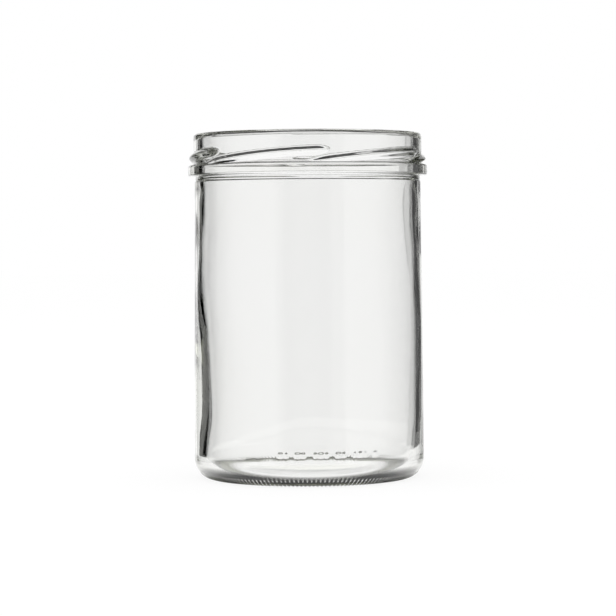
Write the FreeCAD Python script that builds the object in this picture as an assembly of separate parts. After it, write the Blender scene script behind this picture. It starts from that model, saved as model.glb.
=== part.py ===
import FreeCAD, Part
import math
import os

# A straight-sided preserving jar of clear glass, blown in one piece, with a wide
# twist-off mouth: a neck bead and slanting lugs under a rounded sealing rim.
# Millimetres, +Z up. The origin is the centre of the ring that the jar stands on,
# and -Y is the front.

# ---- overall ----
total_height = 116.5       # standing ring to sealing rim
body_radius = 39.17        # outside, just above the heel
body_taper = 0.84          # the body narrows by this much up to the neck

# ---- base ----
heel_width = 5.6           # the heel curve reaches in this far under the body
heel_height = 7.4          # and this far up its side
standing_width = 1.6       # flat ring that the jar stands on
standing_rise = 0.4        # step from that ring up to the underside
push_up = 0.7              # height of the underside at its centre
base_thickness = 1.8       # standing level to the inside floor, near the wall
floor_crown = 0.8          # the inside floor rises by this much to its centre
inside_corner = 6.5        # radius where the inside wall meets the floor

# ---- wall of the body, uneven as blown glass is ----
foot_wall = 3.3            # near the base
foot_height = 19.0
waist_wall = 2.15          # where the glass stretched most
waist_drop = 43.0          # rim down to that thin stretch
shoulder_wall = 3.4        # just under the neck
shoulder_drop = 23.5       # rim down to that thick stretch
wall_bend = 8.0            # height over which the inside bends, each way
waist_bend = 24.0          # and below the thin stretch

# ---- neck ----
neck_step = 0.34           # the neck stands this much outside the body's top
neck_wall = 2.8            # wall of the neck
rim_round = 1.2            # rounding of the outer edge of the sealing rim
lip_width = 1.55           # softer rounding of the inner edge, across
lip_height = 2.4           # and down
bead_drop = 10.62          # rim down to the bead's top
bead_height = 3.65         # height of the bead
bead_proud = 1.88          # the bead stands this far out of the neck
bead_round_above = 0.8
bead_round_below = 0.6
bead_fillet = 0.5          # hollow corners above and below the bead
groove_depth = 0.25        # shallow groove between the bead and the body
groove_height = 1.85
groove_round = 0.25

# ---- lugs ----
lug_count = 6
lug_arc = 75.0             # degrees that one lug runs round the neck
lug_start = -63.5          # degrees from the front to the start of one of them
lug_proud = 1.45           # a lug stands this far out of the neck
lug_height = 3.3           # height of its section where it meets the neck
lug_lean = 0.05            # its ridge lies this much below the middle of that height
lug_root = 0.6             # its section reaches this far into the neck's wall
lug_low_drop = 11.25       # rim down to the ridge of a lug at its low end
lug_high_drop = 6.7        # and at its high end
lug_ease = 1.65            # above 1, a lug climbs faster first and levels out later
lug_run_in = 14.0          # degrees over which the low end rises from the neck
lug_run_out = 7.0          # degrees over which the high end sinks back
lug_sections = 13          # sections that one lug is lofted through

# ---- sizes that follow ----
shoulder_radius = body_radius - body_taper
neck_radius = shoulder_radius + neck_step
bead_radius = neck_radius + bead_proud
bead_top = total_height - bead_drop
bead_bottom = bead_top - bead_height
body_top = bead_bottom - groove_height
standing_outer = body_radius - heel_width
standing_inner = standing_outer - standing_width


def point(radius, height):
    """A place on the outline, in the XZ plane."""
    return FreeCAD.Vector(radius, 0, height)


def rounding(start, corner, end):
    """An exact arc of a circle or an ellipse from start to end, tangent to the two
    runs that meet at the corner."""
    turn = (corner - start).getAngle(end - corner)
    curve = Part.BezierCurve()
    curve.setPoles([start, corner, end])
    curve.setWeight(2, math.cos(turn / 2))
    return curve.toShape()


def outline(corners):
    """A closed outline. Each corner is its radius, its height, and how far its
    rounding reaches back and on along the runs beside it (0, 0 for a sharp corner)."""
    places = [point(radius, height) for radius, height, _, _ in corners]
    count = len(corners)
    edges = []
    leave = None
    for index in range(count + 1):
        here = places[index % count]
        back = places[index % count - 1] - here
        on = places[(index + 1) % count] - here
        reach_back, reach_on = corners[index % count][2:]
        arrive = here + back.normalize() * reach_back
        if leave is not None and leave.distanceToPoint(arrive) > 1e-6:
            edges.append(Part.LineSegment(leave, arrive).toShape())
        leave = here + on.normalize() * reach_on
        if reach_back > 0 and index < count:
            edges.append(rounding(arrive, here, leave))
    return Part.Wire(Part.__sortEdges__(edges))


def outside(height):
    """Outer radius of the body at a height."""
    return body_radius - body_taper * height / body_top


def jar_outline():
    """Half of the jar's section: up the outside, over the rim and down the inside."""
    dome_bend = standing_inner * 0.5
    dome_foot = standing_inner - standing_rise
    dome_run = math.hypot(dome_foot - dome_bend, push_up - standing_rise)
    groove_radius = shoulder_radius - groove_depth
    inside_neck = neck_radius - neck_wall
    shoulder_height = total_height - shoulder_drop
    waist_height = total_height - waist_drop
    inside_foot = outside(foot_height) - foot_wall
    floor_bend = inside_foot - inside_corner
    crown_bend = floor_bend * 0.5
    crown_run = math.hypot(floor_bend - crown_bend, floor_crown)
    return outline([
        (0, push_up, 0, 0),
        (dome_bend, push_up, dome_bend, dome_run),
        (dome_foot, standing_rise, 0, 0),
        (standing_inner, 0, 0, 0),
        (body_radius, 0, heel_width, heel_height),
        (shoulder_radius, body_top, groove_round, groove_round),
        (groove_radius, body_top, 0, 0),
        (groove_radius, bead_bottom, bead_fillet, bead_fillet),
        (bead_radius, bead_bottom, bead_round_below, bead_round_below),
        (bead_radius, bead_top, bead_round_above, bead_round_above),
        (neck_radius, bead_top, bead_fillet, bead_fillet),
        (neck_radius, total_height, rim_round, rim_round),
        (inside_neck, total_height, lip_width, lip_height),
        (inside_neck, bead_bottom, bead_height, wall_bend / 2),
        (outside(shoulder_height) - shoulder_wall, shoulder_height, wall_bend / 2, wall_bend),
        (outside(waist_height) - waist_wall, waist_height, wall_bend, waist_bend),
        (inside_foot, foot_height, wall_bend, wall_bend / 2),
        (inside_foot, base_thickness, inside_corner, inside_corner),
        (floor_bend, base_thickness, 0, 0),
        (crown_bend, base_thickness + floor_crown, crown_run, crown_bend),
        (0, base_thickness + floor_crown, 0, 0),
    ])


def smooth_rise(share):
    """0 to 1, level at both ends."""
    share = min(max(share, 0.0), 1.0)
    return share * share * (3 - 2 * share)


def lug_section(turn):
    """One section across a lug, at this many degrees from its low end. Its ends lie
    inside the neck's wall."""
    climb = 1 - (1 - turn / lug_arc) ** lug_ease
    ridge_height = total_height - lug_low_drop + climb * (lug_low_drop - lug_high_drop)
    rise = min(smooth_rise(turn / lug_run_in), smooth_rise((lug_arc - turn) / lug_run_out))
    ridge_radius = neck_radius - lug_root / 2 + (lug_proud + lug_root / 2) * rise
    root_radius = neck_radius - lug_root
    reach = lug_height / 2 * (1 + rise) / 2
    low = point(root_radius, ridge_height + lug_lean - reach)
    ridge = point(ridge_radius, ridge_height)
    high = point(root_radius, ridge_height + lug_lean + reach)
    edges = [Part.Arc(low, ridge, high).toShape(), Part.LineSegment(high, low).toShape()]
    return Part.Wire(edges)


def lug(start):
    """A slanting lug that begins at this many degrees round from the front."""
    sections = []
    for index in range(lug_sections):
        turn = lug_arc * index / (lug_sections - 1)
        section = lug_section(turn)
        section.rotate(FreeCAD.Vector(0, 0, 0), FreeCAD.Vector(0, 0, 1), start + turn - 90)
        sections.append(section)
    return Part.makeLoft(sections, True, False)


def jar():
    """The whole jar, one piece of glass."""
    half = Part.Face(jar_outline())
    glass = half.revolve(FreeCAD.Vector(0, 0, 0), FreeCAD.Vector(0, 0, 1), 360)
    lugs = [lug(lug_start + 360 * number / lug_count) for number in range(lug_count)]
    return glass.fuse(lugs)


def main():
    os.makedirs("parts", exist_ok=True)
    shape = jar()
    solid = shape.Solids[0]
    print("solids", len(shape.Solids), "valid", solid.isValid(), "closed", solid.isClosed())
    print("glass volume", round(solid.Volume / 1000, 2), "cm3")
    solid.exportStep("parts/jar.step")


main()
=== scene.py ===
import math
import bmesh
import bpy
from mathutils import Matrix, Vector, noise


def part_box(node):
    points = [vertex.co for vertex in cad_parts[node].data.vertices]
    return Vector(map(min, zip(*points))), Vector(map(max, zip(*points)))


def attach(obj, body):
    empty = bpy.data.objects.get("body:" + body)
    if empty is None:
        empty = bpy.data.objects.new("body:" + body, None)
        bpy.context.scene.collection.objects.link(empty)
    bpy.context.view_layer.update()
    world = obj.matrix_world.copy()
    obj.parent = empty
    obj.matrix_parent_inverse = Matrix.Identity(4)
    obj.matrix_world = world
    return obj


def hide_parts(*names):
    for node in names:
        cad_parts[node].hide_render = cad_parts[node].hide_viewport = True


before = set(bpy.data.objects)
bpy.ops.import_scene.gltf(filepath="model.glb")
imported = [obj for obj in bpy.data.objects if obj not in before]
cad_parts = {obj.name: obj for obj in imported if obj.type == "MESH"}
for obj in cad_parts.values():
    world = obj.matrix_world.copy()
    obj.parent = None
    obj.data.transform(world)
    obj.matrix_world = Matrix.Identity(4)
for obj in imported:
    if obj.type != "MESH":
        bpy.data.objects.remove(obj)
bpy.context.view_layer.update()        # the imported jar, as a fixed frame

mm = 0.001
jarLow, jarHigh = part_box("jar")
rimTop = jarHigh.z / mm                      # the jar's tables are in millimetres
beadRadius = (jarHigh.x - jarLow.x) / 2 / mm
tau = 2 * math.pi


def smoothStep(low, high, value):
    share = min(max((value - low) / (high - low), 0.0), 1.0)
    return share * share * (3 - 2 * share)


def newPiece(name, bm):      # the bmesh becomes an object and is let go
    mesh = bpy.data.meshes.new(name)
    bm.to_mesh(mesh)
    bm.free()
    piece = bpy.data.objects.new(name, mesh)
    bpy.context.collection.objects.link(piece)
    return piece


# glass outline

glass = {
    "sides": 640,                            # steps round the jar
    "neckIn": 1.88,                          # bead face to neck
    "bodyIn": 2.22,                          # bead face to the top of the body
    "taper": 0.84,                           # the body widens by this much towards the heel
    "heelWide": 5.6, "heelTall": 7.4,
    "ringWide": 1.6, "ringStep": 0.4,        # flat ring it stands on
    "ringRound": 0.2, "domeRound": 0.3,
    "pushUp": 0.7,                           # underside at its centre
    "markLow": 9.5, "markHigh": 12.0,        # heights between which rows are closer, for the marks
    "base": 1.8,                             # inside floor beside the wall
    "crown": 0.8,                            # the floor rises by this to its centre
    "corner": 6.5,
    # inside wall: thickness, place, and the rounding's reach on its two sides
    "footWall": 3.3, "footAt": 19.0, "footBend": (8.0, 4.0),
    "waistWall": 2.15, "waistDown": 43.0, "waistBend": (8.0, 24.0),
    "shoulderWall": 3.4, "shoulderDown": 23.5, "shoulderBend": (4.0, 8.0),
    "neckWall": 2.8, "neckBend": (3.8, 4.0),
    "lugRowsDown": 4.3,                      # rim to the end of the close rows for the lugs
    "rimRound": 1.2, "lipAcross": 1.55, "lipDown": 2.4,
    "beadDown": 10.62, "beadTall": 3.65,
    "beadSlope": 0.08, "beadRoundAbove": 0.8, "beadRoundBelow": 0.6,
    "fillet": 0.5,
    "grooveDeep": 0.25, "grooveTall": 1.85, "grooveBend": (0.25, 0.2),
    "weld": 0.001,                           # vertices nearer than this become one
}
outlineRows = {
    "tightReach": 2.0,                       # a rounding with a shorter reach is a tight one
    "longRun": 1.2, "support": 0.2,          # a long run gets a row this near a tight rounding
    "closest": 0.02,                         # points nearer than this become one
}

neckRadius = beadRadius - glass["neckIn"]
bodyTop = beadRadius - glass["bodyIn"]       # radius of the body under the bead
footRadius = bodyTop + glass["taper"]
beadTop = rimTop - glass["beadDown"]


def outlineCorners():
    # each row: radius, height, reach back, reach on, steps in the rounding, steps in the run after it
    beadLow = beadTop - glass["beadTall"]
    grooveLow = beadLow - glass["grooveTall"]
    groove = bodyTop - glass["grooveDeep"]
    ringIn = footRadius - glass["heelWide"] - glass["ringWide"]
    domeFoot = ringIn - glass["ringStep"]
    domeBend = ringIn / 2
    domeRun = math.hypot(domeFoot - domeBend, glass["pushUp"] - glass["ringStep"])

    def outside(height):
        return footRadius - glass["taper"] * height / grooveLow

    markLow = glass["markLow"]
    markHigh = glass["markHigh"]
    insideNeck = neckRadius - glass["neckWall"]
    insideFoot = outside(glass["footAt"]) - glass["footWall"]
    waistAt = rimTop - glass["waistDown"]
    shoulderAt = rimTop - glass["shoulderDown"]
    floorBend = insideFoot - glass["corner"]
    floorTop = glass["base"] + glass["crown"]
    crownBend = floorBend / 2
    crownRun = math.hypot(floorBend - crownBend, glass["crown"])
    return [
        (0, glass["pushUp"], 0, 0, 0, 0),
        (domeBend, glass["pushUp"], domeBend, domeRun, 6, 0),
        (domeFoot, glass["ringStep"], glass["domeRound"], glass["domeRound"], 2, 1),
        (ringIn, 0, glass["ringRound"], glass["ringRound"], 2, 3),
        (footRadius, 0, glass["heelWide"], glass["heelTall"], 13, 2),
        (outside(markLow), markLow, 0, 0, 0, 7),
        (outside(markHigh), markHigh, 0, 0, 0, 6),
        (bodyTop, grooveLow, *glass["grooveBend"], 2, 0),
        (groove, grooveLow, 0, 0, 0, 2),
        (groove, beadLow, glass["fillet"], glass["fillet"], 3, 2),
        (beadRadius, beadLow, glass["beadRoundBelow"], glass["beadRoundBelow"], 4, 3),
        (beadRadius, beadTop, glass["beadRoundAbove"], glass["beadRoundAbove"], 6, 2),
        (neckRadius, beadTop + glass["beadSlope"], glass["fillet"], glass["fillet"], 4, 18),
        (neckRadius, rimTop - glass["lugRowsDown"], 0, 0, 0, 0),
        (neckRadius, rimTop, glass["rimRound"], glass["rimRound"], 6, 1),
        (insideNeck, rimTop, glass["lipAcross"], glass["lipDown"], 6, 3),
        (insideNeck, beadLow, *glass["neckBend"], 3, 2),
        (outside(shoulderAt) - glass["shoulderWall"], shoulderAt, *glass["shoulderBend"], 4, 2),
        (outside(waistAt) - glass["waistWall"], waistAt, *glass["waistBend"], 6, 2),
        (insideFoot, glass["footAt"], *glass["footBend"], 3, 1),
        (insideFoot, glass["base"], glass["corner"], glass["corner"], 10, 1),
        (floorBend, glass["base"], 0, 0, 0, 0),
        (crownBend, floorTop, crownRun, crownBend, 4, 0),
        (0, floorTop, 0, 0, 0, 0),
    ]


def towards(here, corner, reach):
    if not reach:
        return here
    return here + (Vector(corner[:2]) - here).normalized() * reach


def straightRun(start, end, steps, startReach, endReach):
    run = end - start
    long = run.length > outlineRows["longRun"]
    points = [start.lerp(end, cut / steps) for cut in range(1, steps)]
    if long and 0 < startReach < outlineRows["tightReach"]:
        points.insert(0, start + run.normalized() * outlineRows["support"])
    if long and 0 < endReach < outlineRows["tightReach"]:
        points.append(end - run.normalized() * outlineRows["support"])
    return points


def cornerBend(arrive, here, leave, steps):      # a conic, which is an arc where both reaches are equal
    if not steps:
        return [here]
    weight = math.cos((here - arrive).angle(leave - here) / 2)
    points = []
    for step in range(steps + 1):
        t = step / steps
        shares = ((1 - t) ** 2, 2 * t * (1 - t) * weight, t * t)
        points.append((arrive * shares[0] + here * shares[1] + leave * shares[2]) / sum(shares))
    return points


def roundedOutline(corners):
    points = []
    last = None
    for index, (radius, height, reachBack, reachOn, bendSteps, runSteps) in enumerate(corners):
        here = Vector((radius, height))
        arrive = towards(here, corners[index - 1], reachBack)
        leave = towards(here, corners[(index + 1) % len(corners)], reachOn)
        if last:
            start, steps, startReach = last
            points += straightRun(start, arrive, steps, startReach, reachBack)
        points += cornerBend(arrive, here, leave, bendSteps)
        last = (leave, runSteps, reachOn)
    kept = points[:1]
    for place in points[1:]:
        if (place - kept[-1]).length > outlineRows["closest"]:
            kept.append(place)
    return kept


# closure lugs, one displaced band round the neck

lugs = {
    "count": 6,
    "arc": 75.0, "start": -63.5,             # degrees, from the front, towards the right
    "proud": 1.45,
    "reachUp": 1.6, "reachDown": 1.8,        # ridge to the two edges of the section
    "lowDown": 11.25, "highDown": 6.7,       # rim to the ridge at the low and the high end
    "ease": 1.65,                            # above 1 the climb is steeper at the low end
    "runIn": 14.0, "runOut": 7.0,            # degrees over which the two ends rise
    "intoBead": 0.6, "rimClear": 2.0,        # the band's ends
}


def lugRise(azimuth, height):
    best = 0.0
    for number in range(lugs["count"]):
        turn = (math.degrees(azimuth) - lugs["start"] - 360 * number / lugs["count"]) % 360
        if turn > lugs["arc"]:
            continue
        climb = 1 - (1 - turn / lugs["arc"]) ** lugs["ease"]
        ridge = rimTop - lugs["lowDown"] + climb * (lugs["lowDown"] - lugs["highDown"])
        lowEnd = smoothStep(0, lugs["runIn"], turn)
        highEnd = smoothStep(0, lugs["runOut"], lugs["arc"] - turn)
        rise = min(lowEnd, highEnd)
        away = height - ridge
        reach = (lugs["reachUp"] if away > 0 else lugs["reachDown"]) * (1 + rise) / 2
        if abs(away) < reach:
            best = max(best, lugs["proud"] * rise * math.cos(away / reach * math.pi / 2) ** 2)
    return best


# rows of plain raised dots and short bars at the heel, a mould's own tally
# places and sizes run round the heel, from the front; a half width of 0 leaves its slot bare

marks = [
    {"height": 10.7, "tall": 1.5, "proud": 0.06, "first": -9.5, "last": 23.5, "pitch": 1.9,
     "halfWidths": (0.8, 0.4, 0.0, 0.9, 0.5, 0.0, 0.4)},
    {"height": 8.3, "tall": 0.7, "proud": 0.04, "first": -24.5, "last": -11.0, "pitch": 1.5,
     "halfWidths": (1.0, 0.0, 0.7, 0.7)},
]
markLead = 1.0           # a row may begin this much early, so that its first mark is whole
markEdge = 0.2           # half of a mark's soft edge


def markRise(arc, height):
    best = 0.0
    for row in marks:
        off = abs(height - row["height"])
        if not row["first"] - markLead <= arc <= row["last"] or off > row["tall"]:
            continue
        slot = round((arc - row["first"]) / row["pitch"])
        half = row["halfWidths"][slot % len(row["halfWidths"])]
        across = abs(arc - row["first"] - slot * row["pitch"])
        inside = min(half - across, row["tall"] / 2 - off)
        if half:
            best = max(best, row["proud"] * smoothStep(-markEdge, markEdge, inside))
    return best


# unevenness of the wall, ribs under the heel and mould seams

wall = {
    "skin": 1.0, "floorSkin": 0.1,           # what lies deeper than this is the inside
    "leftThick": 0.9, "rightThin": 0.5,      # glass gathered on the left, low down
    "leanFoot": 5.0, "leanFull": 24.0,       # heights over which it comes
    "leanEnd": 36.0, "leanTop": 68.0,        # and over which it goes
    "ripple": 0.12,                          # waves of the inside
    "wideWave": (0.05, 0.05, 0.045),
    "fineWave": (0.14, 0.14, 0.06), "fineShift": 7, "fineShare": 0.4,
    "rippleDown": 14, "rippleFade": 12,      # they end this far below the rim
    "floorBelow": 1, "floorAbove": 10,       # and round the floor
    "outerRipple": 0.03, "outerWave": 0.06, "outerShift": 30,
    "outerFoot": 7, "outerDown": 16,
}
ribs = {
    "count": 160, "deep": 0.28,
    "startIn": 0.5,                          # they begin this far inside the standing ring
    "fadeLow": 1.2, "fadeHigh": 2.6,
    "slopeIn": 0.3, "slopeOut": 1.5,         # where they turn from the ring up the heel
    "upLost": 0.6,
}
seam = {"proud": 0.05, "wide": 0.5, "foot": 2, "rimClear": 1.5}
axisGap = 1e-4           # a vertex nearer the axis stays where it is


def isOutside(radius, height):
    heelTurn = 1 - math.sqrt(min(1.0, max(0.0, height) / glass["heelTall"]))
    face = min(bodyTop, footRadius - glass["heelWide"] * heelTurn ** 2)
    return radius > face - wall["skin"] or height < glass["base"] - wall["floorSkin"]


def insidePlace(place, radius, outward):
    x, y, height = place
    rippleTop = rimTop - wall["rippleDown"]
    if height >= rippleTop:
        return radius, height
    lean = smoothStep(wall["leanFoot"], wall["leanFull"], height)
    lean *= 1 - smoothStep(wall["leanEnd"], wall["leanTop"], height)
    thin = wall["rightThin"] * max(0.0, outward.x) ** 2
    thick = wall["leftThick"] * min(0.0, outward.x) ** 2
    lean *= thin - thick
    wide = wall["wideWave"]
    fine = wall["fineWave"]
    wave = noise.noise(Vector((x * wide[0], y * wide[1], height * wide[2])))
    fineSpot = Vector((x * fine[0] + wall["fineShift"], y * fine[1], height * fine[2]))
    wave += wall["fineShare"] * noise.noise(fineSpot)
    fade = smoothStep(glass["base"] - wall["floorBelow"], glass["base"] + wall["floorAbove"], height)
    fade *= smoothStep(0, wall["rippleFade"], rippleTop - height)
    return radius + (lean + wall["ripple"] * wave * fade), height


def outsidePlace(place, radius, azimuth):
    height = place.z
    arc = azimuth * radius
    ringIn = footRadius - glass["heelWide"] - glass["ringWide"]
    if beadTop - lugs["intoBead"] < height < rimTop - lugs["rimClear"]:
        radius = max(radius, neckRadius + lugRise(azimuth, height))
    if radius > ringIn - ribs["startIn"] and height < ribs["fadeHigh"]:
        groove = 0.5 - 0.5 * math.cos(azimuth * ribs["count"])
        depth = ribs["deep"] * groove * (1 - smoothStep(ribs["fadeLow"], ribs["fadeHigh"], height))
        slopeStart = footRadius - glass["heelWide"] - ribs["slopeIn"]
        slope = smoothStep(slopeStart, footRadius - ribs["slopeOut"], radius)
        height += depth * (1 - slope * ribs["upLost"])
        radius -= depth * slope
    elif wall["outerFoot"] < height < rimTop - wall["outerDown"]:
        shift = Vector((0, 0, wall["outerShift"]))
        radius += wall["outerRipple"] * noise.noise(place * wall["outerWave"] + shift)
        radius += markRise(arc, height)
    if seam["foot"] < height < rimTop - seam["rimClear"]:
        side = abs(abs(azimuth) - math.pi / 2) * radius
        radius += seam["proud"] * (1 - smoothStep(0, seam["wide"], side))
    return radius, height


def shapeGlass(bm):
    for vert in bm.verts:
        place = vert.co.copy()
        radius = math.hypot(place.x, place.y)
        if radius < axisGap:
            continue
        outward = Vector((place.x, place.y, 0)) / radius
        if isOutside(radius, place.z):
            radius, height = outsidePlace(place, radius, math.atan2(place.x, -place.y))
        else:
            radius, height = insidePlace(place, radius, outward)
        vert.co = Vector((outward.x * radius, outward.y * radius, height))


def makeGlass():
    outline = roundedOutline(outlineCorners())
    bm = bmesh.new()
    chain = [bm.verts.new((place.x, 0, place.y)) for place in outline]
    edges = [bm.edges.new(pair) for pair in zip(chain, chain[1:])]
    wedges = 8                               # one wedge is spun, then doubled until the ring is full
    turn = tau / wedges
    bmesh.ops.spin(bm, geom=chain + edges, cent=(0, 0, 0), axis=(0, 0, 1), angle=turn,
                   steps=glass["sides"] // wedges, use_merge=False, use_duplicate=False)
    while turn < tau:
        copied = bmesh.ops.duplicate(bm, geom=bm.verts[:] + bm.edges[:] + bm.faces[:])
        verts = [item for item in copied["geom"] if isinstance(item, bmesh.types.BMVert)]
        bmesh.ops.rotate(bm, cent=(0, 0, 0), matrix=Matrix.Rotation(turn, 3, "Z"), verts=verts)
        turn *= 2
    bmesh.ops.remove_doubles(bm, verts=bm.verts, dist=glass["weld"])
    shapeGlass(bm)
    bmesh.ops.scale(bm, vec=(mm, mm, mm), verts=bm.verts)
    bmesh.ops.recalc_face_normals(bm, faces=bm.faces)
    for face in bm.faces:
        face.smooth = True
    print("glass:", len(outline), "rows,", len(bm.faces), "faces")
    return newPiece("jarGlass", bm)


# node shorthand

class Wire:              # a node's output that sums and products can be written with
    def __init__(self, tree, socket):
        self.tree = tree
        self.socket = socket

    def operate(self, operation, other=0.0, reflected=False):
        first, second = (other, self) if reflected else (self, other)
        return addNode(self.tree, "ShaderNodeMath", {"operation": operation}, {0: first, 1: second})

    def __add__(self, other):
        return self.operate("ADD", other)

    def __mul__(self, other):
        return self.operate("MULTIPLY", other)

    def __sub__(self, other):
        return self.operate("SUBTRACT", other)

    def __rsub__(self, other):
        return self.operate("SUBTRACT", other, reflected=True)

    __radd__ = __add__
    __rmul__ = __mul__


def addNode(tree, kind, settings=None, inputs=None, output=0):
    node = tree.nodes.new(kind)
    for name, value in (settings or {}).items():
        setattr(node, name, value)
    for name, value in (inputs or {}).items():
        if isinstance(value, Wire):
            tree.links.new(value.socket, node.inputs[name])
        else:
            node.inputs[name].default_value = value
    return Wire(tree, node.outputs[output]) if node.outputs else node


def newMaterial(name):
    material = bpy.data.materials.new(name)
    material.use_nodes = True
    material.node_tree.nodes.clear()
    return material, material.node_tree


def glowShader(tree, strength):
    return addNode(tree, "ShaderNodeEmission", None, {"Color": (1, 1, 1, 1), "Strength": strength})


# container glass

glassLook = {
    "ior": 1.52,
    "tint": (0.84, 0.875, 0.66, 1.0), "tintDensity": 10.0,
    "wave": (55.0, 2.0, 0.4), "waveHigh": 0.00006,       # scale, detail and roughness of the pattern
    "smear": (30.0, 4.0, 0.6), "smudge": 0.012,
    "shadow": (0.93, 0.94, 0.92, 1.0),
}


def softNoise(tree, place, pattern):
    scale, detail, roughness = pattern
    return addNode(tree, "ShaderNodeTexNoise", None,
                   {"Vector": place, "Scale": scale, "Detail": detail, "Roughness": roughness})


def glassMaterial():
    material, tree = newMaterial("containerGlass")
    place = addNode(tree, "ShaderNodeTexCoord", output="Object")
    wave = softNoise(tree, place, glassLook["wave"])
    smear = softNoise(tree, place, glassLook["smear"])
    bump = addNode(tree, "ShaderNodeBump", None,
                   {"Strength": 1.0, "Distance": glassLook["waveHigh"], "Height": wave})
    surface = addNode(tree, "ShaderNodeBsdfPrincipled", None, {
        "Base Color": (1, 1, 1, 1), "IOR": glassLook["ior"], "Transmission Weight": 1.0,
        "Roughness": smear * glassLook["smudge"], "Normal": bump})
    clear = addNode(tree, "ShaderNodeBsdfTransparent", None, {"Color": glassLook["shadow"]})
    shadowRay = addNode(tree, "ShaderNodeLightPath", output="Is Shadow Ray")
    mixed = addNode(tree, "ShaderNodeMixShader", None, {0: shadowRay, 1: surface, 2: clear})
    depth = addNode(tree, "ShaderNodeVolumeAbsorption", None,
                    {"Color": glassLook["tint"], "Density": glassLook["tintDensity"]})
    addNode(tree, "ShaderNodeOutputMaterial", None, {"Surface": mixed, "Volume": depth})
    return material


jar = makeGlass()
jar.data.materials.append(glassMaterial())
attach(jar, "root")
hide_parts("jar")
print("jar made")

# camera, in metres like everything round the jar

camera = {
    "distance": 0.780, "height": 0.083, "aimDrop": 0.0257,
    "lens": 134.0, "sensor": 36, "shiftX": -0.0007,
    "roll": -0.36,
    "near": 0.01, "far": 50,
}


def makeCamera():
    data = bpy.data.cameras.new("studioCamera")
    data.lens = camera["lens"]
    data.sensor_width = camera["sensor"]
    data.clip_start = camera["near"]
    data.clip_end = camera["far"]
    data.shift_x = camera["shiftX"]
    eye = bpy.data.objects.new("studioCamera", data)
    eye.location = (0, -camera["distance"], camera["height"])
    aim = Vector((0, camera["distance"], -camera["aimDrop"]))
    eye.rotation_euler = aim.to_track_quat("-Z", "Y").to_matrix().to_euler()
    eye.rotation_euler.rotate_axis("Z", math.radians(camera["roll"]))
    bpy.context.collection.objects.link(eye)
    bpy.context.scene.camera = eye
    return eye


eye = makeCamera()
print("camera placed")

# white surround and floor

studio = {
    "worldFill": 1.2,                        # what the surround gives to everything it lights
    "floorRadius": 4.0, "floorDrop": 0.0001,
    "floorGlow": 0.86, "floorColour": (0.82, 0.82, 0.82, 1),
    "discSides": 96,
}


def seenRays(tree):        # 1 on rays that look at the white surround, 0 on those that it lights
    rays = tree.nodes.new("ShaderNodeLightPath")
    camRay, glossRay, clearRay = (Wire(tree, rays.outputs[name]) for name in
                                  ("Is Camera Ray", "Is Glossy Ray", "Is Transmission Ray"))
    return (camRay + glossRay + clearRay).operate("MINIMUM", 1.0)


def makeWorld():
    world = bpy.data.worlds.new("whiteSurround")
    bpy.context.scene.world = world
    world.use_nodes = True
    tree = world.node_tree
    tree.nodes.clear()
    strength = seenRays(tree) * (1 - studio["worldFill"]) + studio["worldFill"]
    sky = addNode(tree, "ShaderNodeBackground", None, {"Color": (1, 1, 1, 1), "Strength": strength})
    addNode(tree, "ShaderNodeOutputWorld", None, {"Surface": sky})


def newDisc(name, radius, drop):       # lies this far under the jar
    bm = bmesh.new()
    bmesh.ops.create_circle(bm, cap_ends=True, segments=studio["discSides"], radius=radius)
    bmesh.ops.translate(bm, vec=(0, 0, jarLow.z - drop), verts=bm.verts)
    return newPiece(name, bm)


def makeFloor():
    floor = newDisc("studioFloor", studio["floorRadius"], studio["floorDrop"])
    material, tree = newMaterial("paleFloor")
    paper = addNode(tree, "ShaderNodeBsdfDiffuse", None, {"Color": studio["floorColour"]})
    share = seenRays(tree) * studio["floorGlow"]
    both = addNode(tree, "ShaderNodeMixShader", None, {0: share, 1: paper, 2: glowShader(tree, 1.0)})
    addNode(tree, "ShaderNodeOutputMaterial", None, {"Surface": both})
    floor.data.materials.append(material)
    floor.visible_transmission = False
    floor.visible_glossy = False


# plinth top, what the glass sees right under it: a glowing disc with a painted contact shadow, dark in a
# ring where the jar touches

plinthTop = {
    "radius": 0.070, "drop": 0.0002,
    # the painted contact shadow: a dark ring of this radius, width and fade, at touchShade brightness
    "touchRadius": 0.033, "touchWide": 0.0015, "touchFade": 0.007,
    "touchShade": 0.03, "shade": 1.0,
}


def onlyForGlass(piece):       # seen only by reflection and through glass, and lights nothing
    piece.active_material.cycles.emission_sampling = "NONE"
    piece.visible_camera = False
    piece.visible_diffuse = False
    piece.visible_shadow = False


def makePlinth():
    plinth = newDisc("plinthTop", plinthTop["radius"], plinthTop["drop"])
    material, tree = newMaterial("paintedContactShadow")
    place = addNode(tree, "ShaderNodeTexCoord", output="Object")
    across = addNode(tree, "ShaderNodeVectorMath", {"operation": "LENGTH"}, {0: place}, output="Value")
    offRing = (across - plinthTop["touchRadius"]).operate("ABSOLUTE")
    # glow share of the disc, low in the ring of painted contact shadow
    share = addNode(tree, "ShaderNodeMapRange", {"interpolation_type": "SMOOTHSTEP"},
                    {"Value": offRing, 1: plinthTop["touchWide"], 2: plinthTop["touchFade"],
                     3: plinthTop["touchShade"], 4: plinthTop["shade"]})
    both = addNode(tree, "ShaderNodeMixShader", None,
                   {0: share, 1: glowShader(tree, 0.0), 2: glowShader(tree, 1.0)})
    addNode(tree, "ShaderNodeOutputMaterial", None, {"Surface": both})
    plinth.data.materials.append(material)
    onlyForGlass(plinth)


# what the glass sees besides the white surround, as the set is built round the jar
# each card: left edge, right edge, low edge, high edge in degrees, 0 straight behind the jar; brightness

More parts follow.
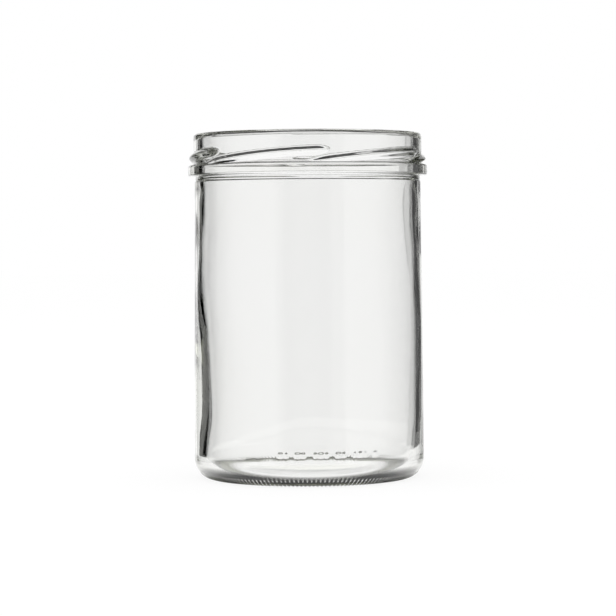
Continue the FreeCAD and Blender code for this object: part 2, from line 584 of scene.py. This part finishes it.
cards = {
    "rightSoft": (14, 22, -90, 90, 0.68),
    "rightCard": (22, 48, -90, 90, 0.06),
    "rightWing": (48, 90, -90, 90, 0.35),
    "leftCard": (-76, -27, -90, 90, 0.0),
    "leftWing": (-90, -76, -90, 90, 0.12),
    "frontCard": (143.5, 205.5, -90, 90, 0.03),
    "frontLeft": (205.5, 270, -90, 90, 0.32),
    "frontRight": (90, 143.5, -90, 90, 0.42),
    "lowCard": (-25, 14, -90, -16, 0.02),
}
cardShape = {"distance": 2.4, "rowAngle": 10, "columnAngle": 5}


def makeCard(name, edges, holder):
    left, right, low, high, shade = edges
    bm = bmesh.new()
    steps = max(1, round((high - low) / cardShape["rowAngle"]))
    arm = [Matrix.Rotation(math.radians(low + (high - low) * step / steps), 3, "X") @ Vector((0, 1, 0))
           for step in range(steps + 1)]
    chain = [bm.verts.new(place * cardShape["distance"]) for place in arm]
    strip = [bm.edges.new(pair) for pair in zip(chain, chain[1:])]
    bmesh.ops.rotate(bm, cent=(0, 0, 0), matrix=Matrix.Rotation(math.radians(-left), 3, "Z"), verts=chain)
    columns = max(1, round((right - left) / cardShape["columnAngle"]))
    bmesh.ops.spin(bm, geom=chain + strip, cent=(0, 0, 0), axis=(0, 0, -1),
                   angle=math.radians(right - left), steps=columns, use_merge=False, use_duplicate=False)
    card = newPiece(name, bm)
    card.parent = holder
    material, tree = newMaterial(name)
    addNode(tree, "ShaderNodeOutputMaterial", None, {"Surface": glowShader(tree, shade)})
    card.data.materials.append(material)
    onlyForGlass(card)


def makeCards(eye):
    holder = bpy.data.objects.new("cardHolder", None)
    holder.location = (0, 0, (jarLow.z + jarHigh.z) / 2)
    bpy.context.collection.objects.link(holder)
    follow = holder.constraints.new("TRACK_TO")         # the set is turned to face the camera
    follow.target = eye
    follow.track_axis = "TRACK_NEGATIVE_Y"
    follow.up_axis = "UP_Z"
    for name, edges in cards.items():
        makeCard(name, edges, holder)


# one soft lamp over the left shoulder

softBox = {"power": 3.0, "size": 0.8, "place": (-0.25, -0.2, 1.0), "aim": (0, 0, 0.05)}


def makeLamp():
    data = bpy.data.lights.new("softBox", "AREA")
    data.shape = "SQUARE"
    data.size = softBox["size"]
    data.energy = softBox["power"]
    lamp = bpy.data.objects.new("softBox", data)
    lamp.location = softBox["place"]
    lamp.rotation_euler = (Vector(softBox["aim"]) - lamp.location).to_track_quat("-Z", "Y").to_euler()
    lamp.visible_glossy = False
    lamp.visible_transmission = False
    bpy.context.collection.objects.link(lamp)


makeWorld()
makeFloor()
makePlinth()
makeCards(eye)
makeLamp()

glassBounces = 24        # light crosses many walls of glass
shadowBounces = 16
scene = bpy.context.scene
scene.view_settings.view_transform = "Standard"
scene.cycles.max_bounces = glassBounces
scene.cycles.transmission_bounces = glassBounces
scene.cycles.glossy_bounces = glassBounces
scene.cycles.transparent_max_bounces = shadowBounces
print("studio made")

bpy.context.view_layer.update()
